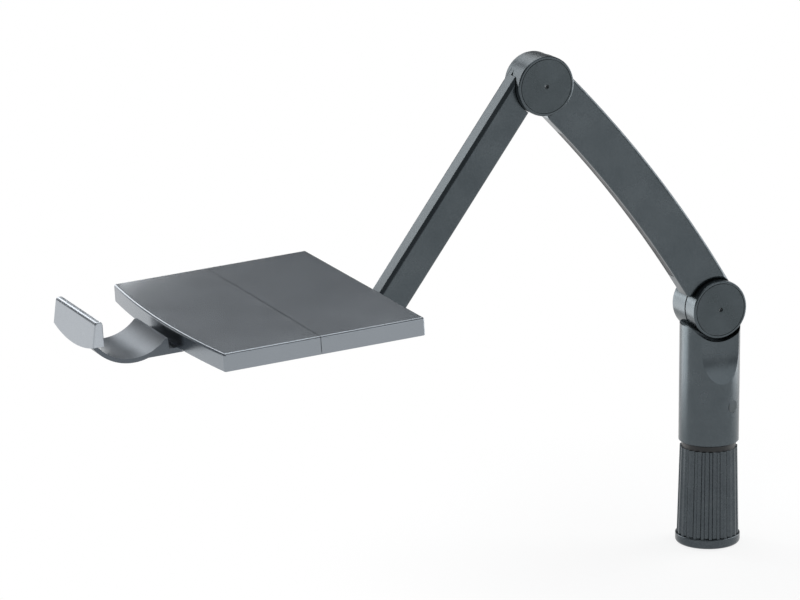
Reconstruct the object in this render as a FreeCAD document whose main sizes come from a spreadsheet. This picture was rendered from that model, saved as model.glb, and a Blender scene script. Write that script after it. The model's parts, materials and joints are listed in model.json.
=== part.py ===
"""Phone holder arm: a swivelling column, two jointed arms and a tray that tilts and pulls out.

The origin is the centre of the base's lower face, with Z up the column. The arms lie in the XZ
plane and reach towards -X, and Y runs along the hinge pins from the front caps to the rear caps.
Lengths are in millimetres and angles in degrees.
"""
import FreeCAD, Part
import math
import os
import Sketcher
from FreeCAD import Placement, Rotation, Vector

SIZES = {
    # clearances, and how far a cutter runs past the face it opens
    "running_gap": 0.05,
    "face_gap": 0.2,
    "seat_gap": 0.02,
    "cut_overrun": 5.0,
    # base sleeve, with its flange and flutes
    "flange_radius": 26.9,
    "flange_height": 8.3,
    "flange_round": 3.0,
    "flange_lip_round": 0.8,
    "sleeve_foot_radius": 25.7,
    "sleeve_top_radius": 23.9,
    "sleeve_height": 82.9,
    "flute_count": 24,
    "flute_radius": 2.5,
    "flute_depth": 1.3,
    # pivot post inside the base, and what keeps the column on it
    "post_radius": 11.0,
    "post_height": 148.0,
    "post_foot_radius": 19.0,
    "post_foot_height": 6.0,
    "mount_thread_radius": 5.0,
    "mount_thread_depth": 24.0,
    "swivel_ring_radius": 22.4,
    "swivel_ring_height": 4.7,
    "bush_wall": 5.0,
    "bush_flange_radius": 20.0,
    "bush_flange_height": 2.0,
    "keeper_radius": 14.0,
    "keeper_height": 2.5,
    "keeper_screw_radius": 4.0,
    "keeper_screw_depth": 16.0,
    "keeper_head_radius": 6.5,
    "keeper_head_height": 5.0,
    "keeper_room": 8.5,
    # column
    "column_radius": 25.0,
    "column_rim_height": 189.0,
    "column_edge": 0.8,
    "shoulder_height": 202.9,
    "scarf_tip": 141.0,
    "scarf_run_out": 70.0,
    "rim_relief_radius": 27.3,
    "brake_height": 120.5,
    "brake_turn": 24.5,
    "brake_screw_radius": 4.0,
    "brake_screw_length": 6.8,
    "brake_room": 2.7,
    "brake_pad_length": 4.5,
    "brake_plug_radius": 5.25,
    "brake_plug_depth": 2.4,
    # half-lap knuckles at the shoulder and the elbow
    "hub_radius": 24.3,
    "hub_edge": 1.2,
    "knuckle_front": 18.0,
    "shoulder_back": 21.0,
    "elbow_back": 10.5,
    "near_hub_depth": 12.0,
    "spacer_thickness": 4.8,
    "spacer_rim_inset": 0.5,
    "hub_relief": 0.4,
    "hub_bite": 0.3,
    "cap_radius": 21.7,
    "rear_cap_radius": 19.5,
    "cap_groove": 0.5,
    "cap_thickness": 2.2,
    "cap_dome": 0.7,
    "cap_hole_radius": 1.9,
    "pocket_radius": 17.5,
    "pin_radius": 4.0,
    "pin_bush_wall": 2.5,
    "near_web": 4.0,
    "hex_radius": 7.5,
    "hex_head_height": 5.0,
    "hex_head_room": 0.5,
    "hex_nut_height": 3.6,
    "spring_radius": 9.0,
    "spring_thickness": 0.8,
    # lower arm, an arc from the shoulder to the elbow
    "lower_arm_span": 256.8,
    "lower_arm_rise": 51.72,
    "lower_arm_arc_radius": 1030.7,
    "lower_arm_inside": 15.8,
    "lower_arm_outside": 21.4,
    "arm_corner": 4.0,
    # forearm, a straight bar from the elbow to the wrist
    "forearm_span": 230.0,
    "forearm_drop": 54.0,
    "forearm_below": 3.5,
    "forearm_height": 27.2,
    # section that both arms share
    "arm_front": 11.5,
    "arm_thickness": 18.5,
    "arm_round": 3.2,
    "channel_width": 9.0,
    "channel_depth": 10.0,
    "channel_cover": 2.4,
    "channel_inset": 46.0,
    # wrist bracket under the tray
    "wrist_behind_centre": 89.55,
    "wrist_below_top": 31.7,
    "disc_radius": 11.0,
    "disc_thickness": 1.0,
    "cheek_radius": 12.0,
    "cheek_angle": 20.0,
    "cheek_thickness": 4.0,
    "bracket_plate": 3.0,
    "bracket_front": 22.0,
    "bracket_rear": 76.0,
    "bracket_heel": 5.0,
    "bracket_nose": 7.0,
    "bracket_flange": 14.0,
    # tray, two pans that meet at a parting line
    "tray_pitch": 3.3,
    "tray_shift": 2.5,
    "tray_length": 167.6,
    "tray_width": 233.4,
    "tray_depth": 14.5,
    "tray_bow": 7.0,
    "tray_corner": 2.0,
    "tray_edge": 1.8,
    "tray_lower_edge": 0.8,
    "tray_wall": 2.5,
    "front_half_length": 80.0,
    "parting_gap": 0.5,
    # pull-out guides between the two pans
    "rod_radius": 3.0,
    "rod_spread": 70.0,
    "rod_front_length": 40.0,
    "rod_rear_length": 76.0,
    "guide_length": 32.0,
    "guide_width": 12.0,
    "clip_radius": 4.4,
    "clip_thickness": 1.0,
    "clip_inset": 3.0,
    # screws under the tray
    "screw_radius": 2.0,
    "screw_head_radius": 3.8,
    "screw_head_height": 2.2,
    "boss_radius": 5.0,
    "boss_height": 3.5,
    "boss_skin": 1.2,
    "bracket_screw_span": 38.0,
    # handle: a bracket, a curved strap and a grip cap
    "handle_width": 66.0,
    "handle_seam": 96.5,
    "handle_bottom": 18.7,
    "handle_bracket_length": 56.0,
    "handle_root_top": 5.9,
    "trough_centre_forward": 125.4,
    "trough_centre_above": 19.95,
    "trough_radius": 37.0,
    "strap_thickness": 3.4,
    "strap_end_angle": 33.0,
    "tang_top": 10.0,
    "tongue_width": 40.0,
    "tongue_thickness": 2.0,
    "tongue_length": 20.0,
    "strap_screw_spread": 12.0,
    "handle_screw_spread": 22.0,
    "handle_screw_span": 22.0,
    "grip_width": 87.0,
    "grip_front_foot": 162.2,
    "grip_front_top": 158.7,
    "grip_back": 152.4,
    "grip_top": 19.6,
    "grip_arch": 5.5,
    "grip_round": 2.6,
    "grip_end_round": 1.2,
    "grip_slot_inset": 0.4,
}

TOLERANCE = 0.01
ACROSS = Rotation(Vector(1, 0, 0), -90)
LENGTHWISE = Rotation(Vector(0, 1, 0), 90)
UPRIGHT = Rotation()


class Size:
    """A length or angle that knows its value and the sheet formula that gives it."""

    def __init__(self, value, text=None):
        self.value = float(value)
        self.text = text or repr(float(value))

    def __add__(self, other):
        other = size(other)
        return Size(self.value + other.value, f"({self.text} + {other.text})")

    def __sub__(self, other):
        other = size(other)
        return Size(self.value - other.value, f"({self.text} - {other.text})")

    def __mul__(self, other):
        other = size(other)
        return Size(self.value * other.value, f"({self.text} * {other.text})")

    def __truediv__(self, other):
        other = size(other)
        return Size(self.value / other.value, f"({self.text} / {other.text})")

    def __neg__(self):
        return Size(-self.value, f"(0 - {self.text})")

    def __radd__(self, other):
        return size(other) + self

    def __rsub__(self, other):
        return size(other) - self

    def __rmul__(self, other):
        return size(other) * self


def size(item):
    """A Size from a Size or a plain number."""
    return item if isinstance(item, Size) else Size(item)


def root(item):
    return Size(math.sqrt(item.value), f"sqrt({item.text})")


def cosine(item):
    return Size(math.cos(math.radians(item.value)), f"cos({item.text})")


def sine(item):
    return Size(math.sin(math.radians(item.value)), f"sin({item.text})")


class Dimensions:
    """The sheet's cells, as attributes that give Size values."""

    def __init__(self, sheet):
        for row, (alias, number) in enumerate(SIZES.items(), start=1):
            sheet.set(f"A{row}", alias)
            sheet.set(f"B{row}", str(number))
            sheet.setAlias(f"B{row}", alias)
            setattr(self, alias, Size(number, f"{sheet.Name}.{alias}"))


doc = FreeCAD.newDocument("phone_holder_arm")
dims_sheet = doc.addObject("Spreadsheet::Sheet", "dims")
d = Dimensions(dims_sheet)
doc.recompute()
pieces = []


# document helpers

def bind(item, prop, amount):
    """Tie a property to the sheet."""
    item.setExpression(prop, size(amount).text)


def bind_place(item, at, rotation=UPRIGHT):
    """Place an object at sheet-driven coordinates, turned by a fixed rotation."""
    at = [size(value) for value in at]
    item.Placement = Placement(Vector(*[value.value for value in at]), rotation)
    for axis, value in zip("xyz", at):
        bind(item, f"Placement.Base.{axis}", value)


def keep(item, label):
    """Name a finished sub-part."""
    item.Label = label
    pieces.append(item)
    return item


def new_body(label):
    return keep(doc.addObject("PartDesign::Body", label), label)


def sketch_on(body, role, offset=0):
    """A sketch on one of the body's origin planes, lifted along that plane's normal."""
    sketch = body.newObject("Sketcher::SketchObject", f"{body.Name}_sketch")
    plane = next(item for item in body.Origin.OriginFeatures if item.Role == role)
    sketch.AttachmentSupport = [(plane, "")]
    sketch.MapMode = "FlatFace"
    offset = size(offset)
    sketch.AttachmentOffset = Placement(Vector(0, 0, offset.value), UPRIGHT)
    bind(sketch, "AttachmentOffset.Base.z", offset)
    return sketch


def pin_point(sketch, geometry, end, point):
    """Hold one point of a sketch at sheet-driven coordinates."""
    for kind, value in zip(("DistanceX", "DistanceY"), point):
        name = f"{kind}_{geometry}_{end}"
        index = sketch.addConstraint(Sketcher.Constraint(kind, -1, 1, geometry, end, value.value))
        sketch.renameConstraint(index, name)
        bind(sketch, f"Constraints.{name}", value)


def pin_centre(sketch, geometry, kind, value):
    """Hold an arc's centre across its chord, which settles the arc between its two pinned ends."""
    name = f"{kind}_{geometry}_centre"
    index = sketch.addConstraint(Sketcher.Constraint(kind, -1, 1, geometry, 3, size(value).value))
    sketch.renameConstraint(index, name)
    bind(sketch, f"Constraints.{name}", value)


def flat(u, v):
    return Vector(size(u).value, size(v).value, 0)


def outline(sketch, corners):
    """Draw a closed outline. A corner is (u, v), or (u, v, radius, centre u, centre v, turn) where
    an arc leads to the next corner, anticlockwise for a turn of 1 and clockwise for -1."""
    count = len(corners)
    starts = []
    for index, corner in enumerate(corners):
        following = corners[(index + 1) % count]
        first = flat(corner[0], corner[1])
        last = flat(following[0], following[1])
        if len(corner) == 2:
            sketch.addGeometry(Part.LineSegment(first, last), False)
            starts.append((1, 2))
            continue
        radius, centre_u, centre_v, turn = corner[2:]
        centre = flat(centre_u, centre_v)
        begin, finish = (first, last) if turn > 0 else (last, first)
        angles = [math.atan2(p.y - centre.y, p.x - centre.x) for p in (begin, finish)]
        circle = Part.Circle(centre, Vector(0, 0, 1), size(radius).value)
        sketch.addGeometry(Part.ArcOfCircle(circle, angles[0], angles[1]), False)
        starts.append((1, 2) if turn > 0 else (2, 1))
    for index, corner in enumerate(corners):
        following = (index + 1) % count
        sketch.addConstraint(
            Sketcher.Constraint("Coincident", index, starts[index][1], following, starts[following][0]))
        pin_point(sketch, index, starts[index][0], (size(corner[0]), size(corner[1])))
        if len(corner) > 2:
            chord = flat(*corners[following][:2]) - flat(*corner[:2])
            steep = abs(chord.y) >= abs(chord.x)
            pin_centre(sketch, index, "DistanceX" if steep else "DistanceY", corner[3 if steep else 4])


def sketched(body, kind, role, corners, offset, length, middle=False, back=False):
    """A Pad or Pocket of an outline, from its plane along the plane's normal."""
    sketch = sketch_on(body, role, offset)
    outline(sketch, corners)
    doc.recompute()
    feature = body.newObject(f"PartDesign::{kind}", f"{body.Name}_{kind.lower()}")
    feature.Profile = sketch
    feature.SideType = "Symmetric" if middle else "One side"
    feature.Reversed = back
    bind(feature, "Length", length)
    doc.recompute()
    return feature


def turned(label, profile):
    """A body of revolution about its own Z axis, from (radius, height) corners."""
    body = new_body(label)
    sketch = sketch_on(body, "XZ_Plane")
    outline(sketch, profile)
    doc.recompute()
    spin = body.newObject("PartDesign::Revolution", f"{label}_turn")
    spin.Profile = sketch
    spin.ReferenceAxis = (sketch, ["V_Axis"])
    spin.Angle = 360
    doc.recompute()
    return body


def ring_profile(inner, outer, low, high):
    return [(inner, low), (outer, low), (outer, high), (inner, high)]


def round_tool(body, kind, radius, height, at, rotation=UPRIGHT):
    """Add or subtract a cylinder inside a body."""
    feature = body.newObject(f"PartDesign::{kind}Cylinder", f"{body.Name}_round")
    bind(feature, "Radius", radius)
    bind(feature, "Height", height)
    bind_place(feature, at, rotation)
    doc.recompute()
    return feature


def block_tool(body, kind, low, high):
    """Add or subtract a box inside a body, given its lowest and highest corners."""
    feature = body.newObject(f"PartDesign::{kind}Box", f"{body.Name}_block")
    for prop, start, stop in zip(("Length", "Width", "Height"), low, high):
        bind(feature, prop, size(stop) - size(start))
    bind_place(feature, low)
    doc.recompute()
    return feature


def dress(body, kind, amount, chosen):
    """Fillet or chamfer the edges of the body's last feature that a test picks out."""
    base = body.Tip
    names = [f"Edge{index}" for index, edge in enumerate(base.Shape.Edges, start=1) if chosen(edge)]
    if not names:
        raise RuntimeError(f"{body.Label}: no edge to dress")
    feature = body.newObject(f"PartDesign::{kind}", f"{body.Name}_{kind.lower()}")
    feature.Base = (base, names)
    bind(feature, "Radius" if kind == "Fillet" else "Size", amount)
    doc.recompute()
    return feature


def near(a, b):
    return abs(a - size(b).value) < TOLERANCE


def arc_of(edge, radius):
    return isinstance(edge.Curve, Part.Circle) and near(edge.Curve.Radius, radius)


def primitive(kind, sizes, at, rotation=UPRIGHT):
    """A Part primitive with its sizes and place tied to the sheet."""
    item = doc.addObject(f"Part::{kind}", kind)
    for prop, amount in sizes.items():
        bind(item, prop, amount)
    bind_place(item, at, rotation)
    return item


def rod(radius, height, at, rotation=UPRIGHT):
    return primitive("Cylinder", {"Radius": radius, "Height": height}, at, rotation)


def hexagon(radius, height, at, rotation=UPRIGHT):
    return primitive("Prism", {"Circumradius": radius, "Height": height}, at, rotation)


def joined(shapes):
    fuse = doc.addObject("Part::MultiFuse", "joined")
    fuse.Shapes = shapes
    return fuse


def cut(base, tool):
    item = doc.addObject("Part::Cut", "cut")
    item.Base = base
    item.Tool = tool
    return item


# places that several pieces share

column_bottom = d.sleeve_height + d.swivel_ring_height + d.face_gap
post_bore = d.post_radius + d.running_gap
bush_radius = post_bore + d.bush_wall
column_bore_top = d.post_height + d.keeper_height + d.keeper_head_height + d.keeper_room
far_face = -d.knuckle_front + d.near_hub_depth + d.face_gap + d.spacer_thickness
near_back = -d.knuckle_front + d.near_hub_depth
pin_bore = d.pin_radius + d.running_gap
pin_bush_radius = pin_bore + d.pin_bush_wall
arm_back = d.arm_thickness - d.arm_front
arm_middle = arm_back - d.arm_thickness / 2
arm_relief = d.hub_radius + d.hub_relief
arm_end_radius = d.hub_radius - d.hub_bite
forearm_top = d.forearm_height - d.forearm_below

shoulder = (size(0), d.shoulder_height)
elbow = (
    shoulder[0] - d.lower_arm_span * cosine(d.lower_arm_rise),
    shoulder[1] + d.lower_arm_span * sine(d.lower_arm_rise),
)
wrist_lift = d.forearm_height / 2 - d.forearm_below
wrist = (
    elbow[0] - d.forearm_span * cosine(d.forearm_drop) - wrist_lift * sine(d.forearm_drop),
    elbow[1] - d.forearm_span * sine(d.forearm_drop) + wrist_lift * cosine(d.forearm_drop),
)
tray = (
    wrist[0] - d.wrist_behind_centre * cosine(d.tray_pitch) - d.wrist_below_top * sine(d.tray_pitch),
    wrist[1] - d.wrist_behind_centre * sine(d.tray_pitch) + d.wrist_below_top * cosine(d.tray_pitch),
)


def about_hinge(angle):
    """A turn about the hinge pins' direction."""
    return Rotation(Vector(0, 1, 0), angle.value)


def place_in_plane(item, point, angle, shift=0):
    """Put a piece's own frame at a point of the arm plane or beside it, turned by a sheet-driven angle."""
    bind_place(item, (point[0], shift, point[1]), about_hinge(angle))
    bind(item, "Placement.Rotation.Angle", angle)


def place_on_lower_arm(item):
    place_in_plane(item, shoulder, d.lower_arm_rise)


def place_on_forearm(item):
    place_in_plane(item, elbow, -d.forearm_drop)


def place_on_tray(item):
    place_in_plane(item, tray, -d.tray_pitch, d.tray_shift)


# base

def base_sleeve():
    """Moulded base sleeve: a flanged foot and a tapered grip with a ring of flutes."""
    bore = d.post_radius + d.seat_gap
    recess = d.post_foot_radius + d.seat_gap
    body = turned("base_sleeve", [
        (bore, d.post_foot_height),
        (recess, d.post_foot_height),
        (recess, 0),
        (d.flange_radius, 0),
        (d.flange_radius, d.flange_height),
        (d.sleeve_foot_radius, d.flange_height),
        (d.sleeve_top_radius, d.sleeve_height),
        (bore, d.sleeve_height),
    ])
    for amount, height in ((d.flange_round, 0), (d.flange_lip_round, d.flange_height)):
        dress(body, "Fillet", amount,
              lambda edge: arc_of(edge, d.flange_radius) and near(edge.BoundBox.ZMax, height))
    taper = d.sleeve_foot_radius - d.sleeve_top_radius
    rise = d.sleeve_height - d.flange_height
    lean = -math.degrees(math.atan2(taper.value, rise.value))
    start = d.sleeve_foot_radius - d.flute_depth + d.flute_radius
    flute = round_tool(body, "Subtractive", d.flute_radius, rise + d.cut_overrun,
                       (start, 0, d.flange_height), about_hinge(size(lean)))
    ring = body.newObject("PartDesign::PolarPattern", "flutes")
    ring.Originals = [flute]
    axis = next(item for item in body.Origin.OriginFeatures if item.Role == "Z_Axis")
    ring.Axis = (axis, [""])
    ring.Angle = 360
    bind(ring, "Occurrences", d.flute_count)
    body.Tip = ring
    doc.recompute()


def pivot_post():
    """Turned steel post that the column swivels on, tapped below for the table fixing."""
    screw_bore = d.keeper_screw_radius + d.seat_gap
    turned("pivot_post", [
        (0, d.mount_thread_depth),
        (d.mount_thread_radius, d.mount_thread_depth),
        (d.mount_thread_radius, 0),
        (d.post_foot_radius, 0),
        (d.post_foot_radius, d.post_foot_height - d.seat_gap),
        (d.post_radius, d.post_foot_height - d.seat_gap),
        (d.post_radius, d.post_height),
        (screw_bore, d.post_height),
        (screw_bore, d.post_height - d.keeper_screw_depth - d.face_gap),
        (0, d.post_height - d.keeper_screw_depth - d.face_gap),
    ])


def swivel_ring():
    """Dark thrust ring in the groove between the sleeve and the column."""
    inner = d.post_radius + d.seat_gap
    turned("swivel_ring", ring_profile(inner, d.swivel_ring_radius, d.sleeve_height,
                                       d.sleeve_height + d.swivel_ring_height))


def keeper():
    """Washer and screw on top of the post, which stop the column lifting off."""
    washer_top = d.post_height + d.keeper_height
    turned("keeper_washer", ring_profile(d.keeper_screw_radius + d.seat_gap, d.keeper_radius,
                                         d.post_height, washer_top))
    shank = rod(d.keeper_screw_radius, d.keeper_screw_depth + d.keeper_height,
                (0, 0, d.post_height - d.keeper_screw_depth))
    head = rod(d.keeper_head_radius, d.keeper_head_height, (0, 0, washer_top))
    keep(joined([shank, head]), "keeper_screw")


# column

def brake_direction(distance):
    """A point on the brake screw's line, at a distance from the column's axis."""
    return (distance * sine(d.brake_turn), -distance * cosine(d.brake_turn), d.brake_height)


def brake_rotation():
    return Rotation(Vector(0, 0, 1), d.brake_turn.value) * Rotation(Vector(1, 0, 0), 90)


def column():
    """Cast column whose front runs out to a flat under the knuckle, with the knuckle's rear half on top."""
    body = new_body("column")
    round_tool(body, "Additive", d.column_radius, d.column_rim_height - column_bottom, (0, 0, column_bottom))
    dress(body, "Chamfer", d.column_edge, lambda edge: arc_of(edge, d.column_radius))
    round_tool(body, "Additive", d.hub_radius, d.shoulder_back - far_face,
               (0, far_face, d.shoulder_height), ACROSS)
    dress(body, "Fillet", d.hub_edge,
          lambda edge: arc_of(edge, d.hub_radius) and near(edge.BoundBox.YMin, d.shoulder_back))
    reach = d.column_radius + d.cut_overrun
    round_tool(body, "Subtractive", d.rim_relief_radius, reach + far_face, (0, -reach, d.shoulder_height),
               ACROSS)
    scarf_depth = d.column_radius - d.knuckle_front
    scarf_full = d.scarf_tip + root(d.scarf_run_out * scarf_depth * 2 - scarf_depth * scarf_depth)
    run_out_centre = -d.knuckle_front - d.scarf_run_out
    sketched(body, "Pocket", "YZ_Plane", [
        (-d.column_radius, d.scarf_tip, d.scarf_run_out, run_out_centre, scarf_full, 1),
        (-d.knuckle_front, scarf_full),
        (-d.knuckle_front, d.shoulder_height),
        (-reach, d.shoulder_height),
        (-reach, d.scarf_tip),
    ], 0, d.column_radius * 2, middle=True)
    round_tool(body, "Subtractive", bush_radius + d.seat_gap, column_bore_top - column_bottom,
               (0, 0, column_bottom))
    round_tool(body, "Subtractive", d.bush_flange_radius + d.seat_gap, d.bush_flange_height,
               (0, 0, column_bottom))
    far_knuckle_bores(body, shoulder, d.shoulder_back)
    turn = brake_rotation()
    round_tool(body, "Subtractive", d.brake_screw_radius + d.seat_gap, d.column_radius,
               brake_direction(d.post_radius), turn)
    round_tool(body, "Subtractive", d.brake_plug_radius + d.seat_gap, d.column_radius,
               brake_direction(d.column_radius - d.brake_plug_depth), turn)


def column_bushes():
    """Flanged lower bush and plain upper bush between the column and the post."""
    flange_top = column_bottom + d.bush_flange_height
    lower_top = d.brake_height - d.brake_screw_radius - d.brake_room
    turned("lower_bush", [
        (post_bore, column_bottom),
        (d.bush_flange_radius, column_bottom),
        (d.bush_flange_radius, flange_top),
        (bush_radius, flange_top),
        (bush_radius, lower_top),
        (post_bore, lower_top),
    ])
    top = d.post_height - d.face_gap
    upper_low = d.brake_height + d.brake_screw_radius + d.face_gap
    turned("upper_bush", ring_profile(post_bore, bush_radius, upper_low, top))


def brake():
    """Swivel brake: a pad on the post, the grub screw behind it and the plug that hides them."""
    turn = brake_rotation()
    pad_start = d.post_radius + d.running_gap * 2
    screw_start = pad_start + d.brake_pad_length + d.seat_gap
    plug_start = d.column_radius - d.brake_plug_depth
    keep(rod(d.brake_screw_radius, d.brake_pad_length, brake_direction(pad_start), turn), "brake_pad")
    keep(rod(d.brake_screw_radius, d.brake_screw_length, brake_direction(screw_start), turn), "brake_screw")
    keep(rod(d.brake_plug_radius, d.brake_plug_depth - d.face_gap, brake_direction(plug_start), turn),
         "brake_plug")


# knuckles

def across_at(point, y):
    return (point[0], y, point[1])


def pin_seat(back):
    """Where the pin's head seats, in the pocket behind a knuckle's rear cap."""
    return back - d.cap_thickness - d.hex_head_room - d.hex_head_height


def far_knuckle_bores(body, point, back):
    """Pin bore, head pocket and cap seat of a knuckle's rear half, in the body's own frame."""
    floor = pin_seat(back)
    round_tool(body, "Subtractive", d.pin_radius + d.seat_gap, back - far_face, across_at(point, far_face),
               ACROSS)
    round_tool(body, "Subtractive", d.pocket_radius, back - floor, across_at(point, floor), ACROSS)
    round_tool(body, "Subtractive", d.rear_cap_radius + d.cap_groove, d.cap_thickness + d.cut_overrun,
               across_at(point, back - d.cap_thickness), ACROSS)


def near_knuckle_bores(body, point):
    """Bush bore, nut pocket and cap seat of a knuckle's front half, in the body's own frame."""
    round_tool(body, "Subtractive", pin_bush_radius + d.seat_gap, d.near_hub_depth,
               across_at(point, -d.knuckle_front), ACROSS)
    round_tool(body, "Subtractive", d.pocket_radius, d.near_hub_depth - d.near_web,
               across_at(point, -d.knuckle_front), ACROSS)
    round_tool(body, "Subtractive", d.cap_radius + d.cap_groove, d.cap_thickness,
               across_at(point, -d.knuckle_front), ACROSS)


def cap(label, point, radius, rim, outward):
    """A domed knuckle cap with a hole in its middle, facing rearwards (1) or forwards (-1)."""
    dome = d.cap_dome
    dome_radius = (radius * radius + dome * dome) / (dome * 2)
    centre = rim + outward * (dome - dome_radius)
    crown = centre + outward * root(dome_radius * dome_radius - d.cap_hole_radius * d.cap_hole_radius)
    inside = rim - outward * d.cap_thickness
    body = turned(label, [
        (d.cap_hole_radius, inside),
        (radius, inside),
        (radius, rim, dome_radius, 0, centre, outward),
        (d.cap_hole_radius, crown),
    ])
    bind_place(body, across_at(point, 0), ACROSS)


def knuckle(name, point, back):
    """The loose pieces of one knuckle, from the front cap to the rear cap."""
    web_front = near_back - d.near_web
    spring_back = web_front - d.face_gap
    nut_back = spring_back - d.spring_thickness * 2 - d.seat_gap * 2
    head_front = pin_seat(back)
    pin_front = nut_back - d.hex_nut_height - d.seat_gap * 2

    shank = rod(d.pin_radius, head_front - pin_front, across_at(point, pin_front), ACROSS)
    head = hexagon(d.hex_radius, d.hex_head_height, across_at(point, head_front), ACROSS)
    keep(joined([shank, head]), f"{name}_pin")

    nut_front = nut_back - d.hex_nut_height
    nut = hexagon(d.hex_radius, d.hex_nut_height, across_at(point, nut_front), ACROSS)
    tap = rod(d.pin_radius + d.seat_gap, d.hex_nut_height, across_at(point, nut_front), ACROSS)
    keep(cut(nut, tap), f"{name}_nut")

    rings = []
    for count in (1, 2):
        front = spring_back - count * (d.spring_thickness + d.seat_gap)
        disc = rod(d.spring_radius, d.spring_thickness, across_at(point, front), ACROSS)
        hole = rod(d.pin_radius + d.seat_gap, d.spring_thickness, across_at(point, front), ACROSS)
        rings.append(cut(disc, hole))
    keep(joined(rings), f"{name}_spring_washers")

    bush = turned(f"{name}_bush", ring_profile(pin_bore, pin_bush_radius, web_front, near_back))
    bind_place(bush, across_at(point, 0), ACROSS)

    spacer_radius = d.hub_radius - d.spacer_rim_inset
    spacer = turned(f"{name}_spacer", ring_profile(d.pin_radius + d.seat_gap, spacer_radius,
                                                   far_face - d.spacer_thickness, far_face))
    bind_place(spacer, across_at(point, 0), ACROSS)

    cap(f"{name}_front_cap", point, d.cap_radius, -d.knuckle_front, -1)
    cap(f"{name}_rear_cap", point, d.rear_cap_radius, back, 1)


# arms

arc_centre = (
    -d.lower_arm_span / 2,
    -root(d.lower_arm_arc_radius * d.lower_arm_arc_radius - d.lower_arm_span * d.lower_arm_span / 4),
)


def on_arc(radius, along):
    """A point of the lower arm's arc, at a distance along the chord from the shoulder."""
    run = -along - arc_centre[0]
    return (-along, arc_centre[1] + root(radius * radius - run * run))


def arc_band(inner, outer, start, stop):
    """Outline of a strip of the lower arm between two radii and two distances along the chord."""
    inner_start = on_arc(inner, start)
    inner_stop = on_arc(inner, stop)
    outer_start = on_arc(outer, start)
    outer_stop = on_arc(outer, stop)
    return [
        inner_start + (inner, arc_centre[0], arc_centre[1], 1),
        inner_stop,
        outer_stop + (outer, arc_centre[0], arc_centre[1], -1),
        outer_start,
    ]


def corner_cut(body, inner, mirrored):
    """Round off the corner between the arm's inner side and the hub at one of its ends."""
    arc_radius = d.lower_arm_arc_radius
    hub_reach = arm_end_radius + d.arm_corner
    arc_reach = inner + d.arm_corner
    inward = (hub_reach * hub_reach - arc_reach * arc_reach + arc_radius * arc_radius) / (arc_radius * 2)
    along = root(hub_reach * hub_reach - inward * inward)
    down = (arc_centre[0] / arc_radius, arc_centre[1] / arc_radius)
    centre = (inward * down[0] + along * down[1], inward * down[1] - along * down[0])
    share = inner / arc_reach
    on_side = tuple(far + (here - far) * share for far, here in zip(arc_centre, centre))
    on_end = tuple(value * (arm_end_radius / hub_reach) for value in centre)
    outside = d.lower_arm_inside + d.cut_overrun
    beyond = (down[0] * outside, down[1] * outside)

    def across(point):
        return (-d.lower_arm_span - point[0], point[1]) if mirrored else point

    turn = -1 if mirrored else 1
    sketched(body, "Pocket", "XZ_Plane", [
        across(on_side) + (d.arm_corner,) + across(centre) + (turn,),
        across(on_end),
        across((size(0), size(0))),
        across(beyond),
    ], -arm_middle, d.arm_thickness * 2, middle=True)


def round_end(body, along):
    """Round the arm's front edge down to the hub, by a groove about the hub's axis."""
    sketch = sketch_on(body, "XY_Plane")
    bind(sketch, "AttachmentOffset.Base.x", along)
    face_end = arm_end_radius + d.arm_round
    low = d.arm_round - d.arm_front
    clear = -d.knuckle_front
    outline(sketch, [
        (0, clear),
        (face_end, clear),
        (face_end, -d.arm_front, d.arm_round, face_end, low, -1),
        (arm_end_radius, low),
        (0, low),
    ])
    doc.recompute()
    groove = body.newObject("PartDesign::Groove", f"{body.Name}_groove")
    groove.Profile = sketch
    groove.ReferenceAxis = (sketch, ["V_Axis"])
    groove.Angle = 360
    doc.recompute()


def lower_arm():
    """Curved arm casting that carries the front half of both knuckles."""
    body = new_body("lower_arm")
    inner = d.lower_arm_arc_radius - d.lower_arm_inside
    outer = d.lower_arm_arc_radius + d.lower_arm_outside
    sketched(body, "Pad", "XZ_Plane", arc_band(inner, outer, size(0), d.lower_arm_span), -arm_back,
             d.arm_thickness)
    for mirrored in (False, True):
        corner_cut(body, inner, mirrored)
    dress(body, "Fillet", d.arm_round, lambda edge: arc_of(edge, inner) or arc_of(edge, outer))
    ends = ((size(0), size(0)), (-d.lower_arm_span, size(0)))
    for point in ends:
        round_end(body, point[0])
        round_tool(body, "Subtractive", arm_relief, d.arm_thickness, across_at(point, near_back), ACROSS)
        round_tool(body, "Additive", d.hub_radius, d.near_hub_depth, across_at(point, -d.knuckle_front),
                   ACROSS)
    dress(body, "Fillet", d.hub_edge,
          lambda edge: arc_of(edge, d.hub_radius) and near(edge.BoundBox.YMax, -d.knuckle_front))
    for point in ends:
        near_knuckle_bores(body, point)
    stop = d.lower_arm_span - d.channel_inset
    sketched(body, "Pocket", "XZ_Plane",
             arc_band(inner - d.channel_depth, inner + d.channel_depth, d.channel_inset, stop),
             -arm_middle, d.channel_width, middle=True)
    place_on_lower_arm(body)

    cover = new_body("lower_arm_cable_cover")
    gap = d.face_gap
    sketched(cover, "Pad", "XZ_Plane",
             arc_band(inner + gap, inner + gap + d.channel_cover, d.channel_inset + gap, stop - gap),
             -arm_middle, d.channel_width - gap * 2, middle=True)
    place_on_lower_arm(cover)


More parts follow.
